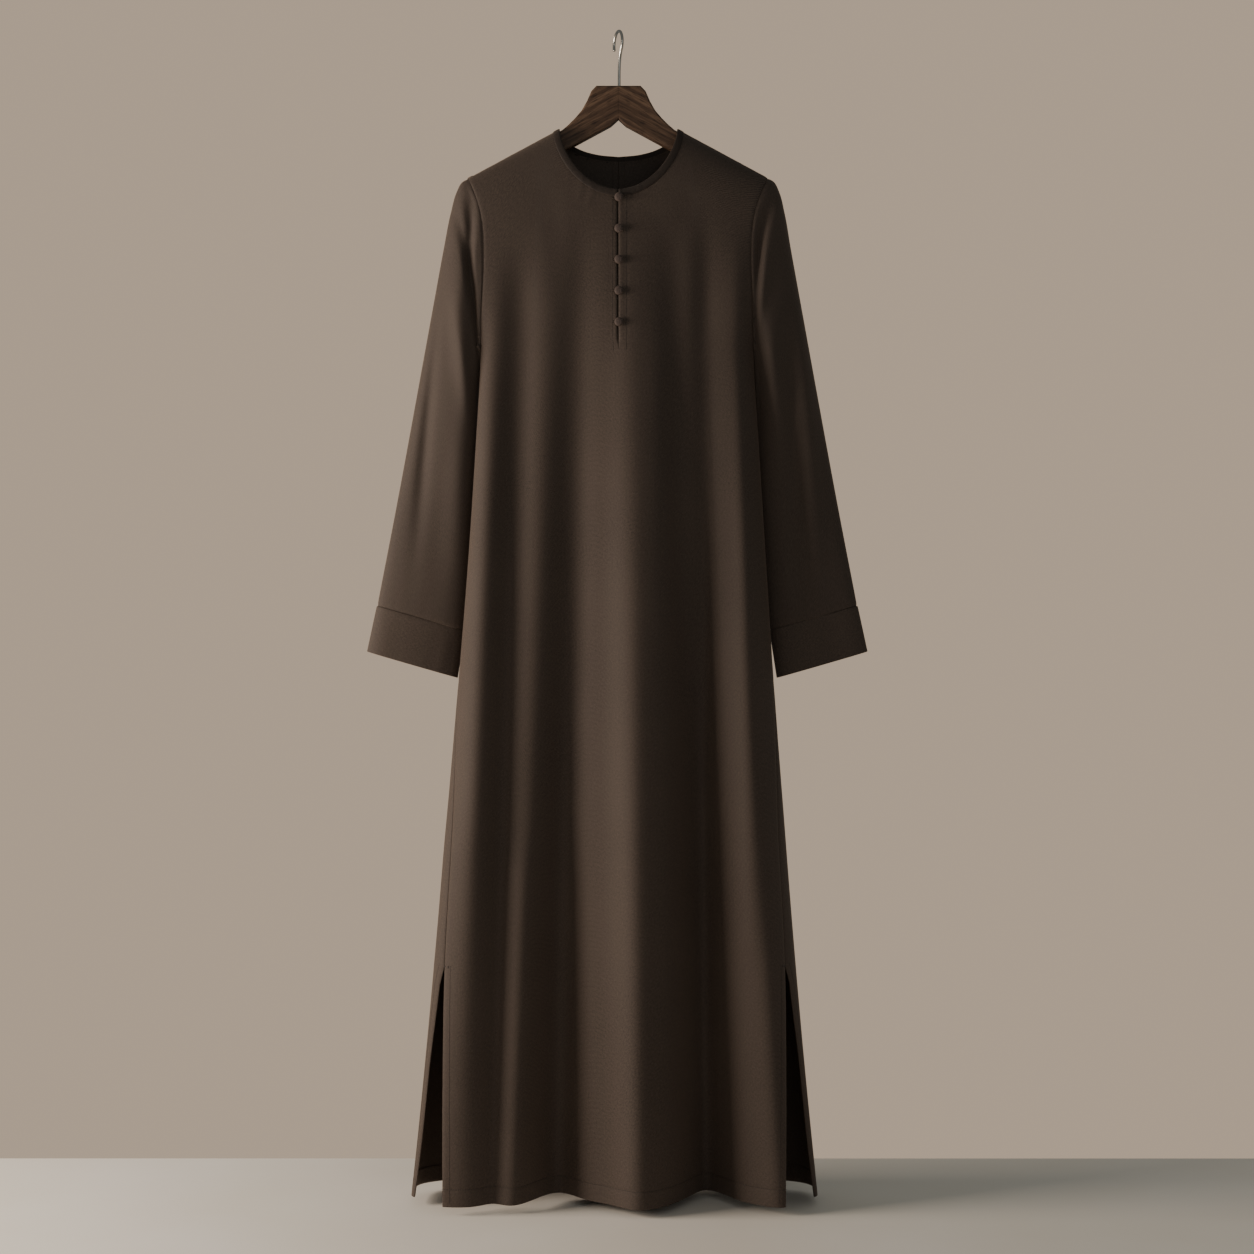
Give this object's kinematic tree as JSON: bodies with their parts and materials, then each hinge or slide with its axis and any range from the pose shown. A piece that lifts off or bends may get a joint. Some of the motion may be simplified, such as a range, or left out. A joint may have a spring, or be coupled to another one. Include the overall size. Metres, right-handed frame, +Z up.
{
  "type": "closed abaya on a wooden hanger",
  "caption": "Ankle-length closed abaya with a bound round neck, buttoned front slit, long cuffed sleeves and side slits, hanging on a wooden hanger with a steel hook",
  "frame": {"origin": "inner top of the hook's arc, where the rail carries it", "axes": "+Z up along the garment's length, the front faces -Y, the wearer's right is at -X"},
  "size_m": [0.6856, 0.1936, 1.582],
  "materials": {
    "crepe": "matte crepe with a soft sheen",
    "binding": "the same crepe, folded and pressed",
    "button": "covered in the same crepe",
    "walnut": "satin varnish",
    "steel": "polished"
  },
  "bodies": {
    "root": {"front_panel": "crepe", "back_panel_left": "crepe", "back_panel_right": "crepe", "sleeve_left": "crepe", "sleeve_right": "crepe", "cuff_left": "crepe", "cuff_right": "crepe", "neck_binding": "binding", "button_loop_1": "binding", "button_loop_2": "binding", "button_loop_3": "binding", "button_loop_4": "binding", "button_loop_5": "binding", "button_1": "button", "button_2": "button", "button_3": "button", "button_4": "button", "button_5": "button", "hanger_arm_left": "walnut", "hanger_arm_right": "walnut", "hanger_hook": "steel"}
  },
  "joints": []
}
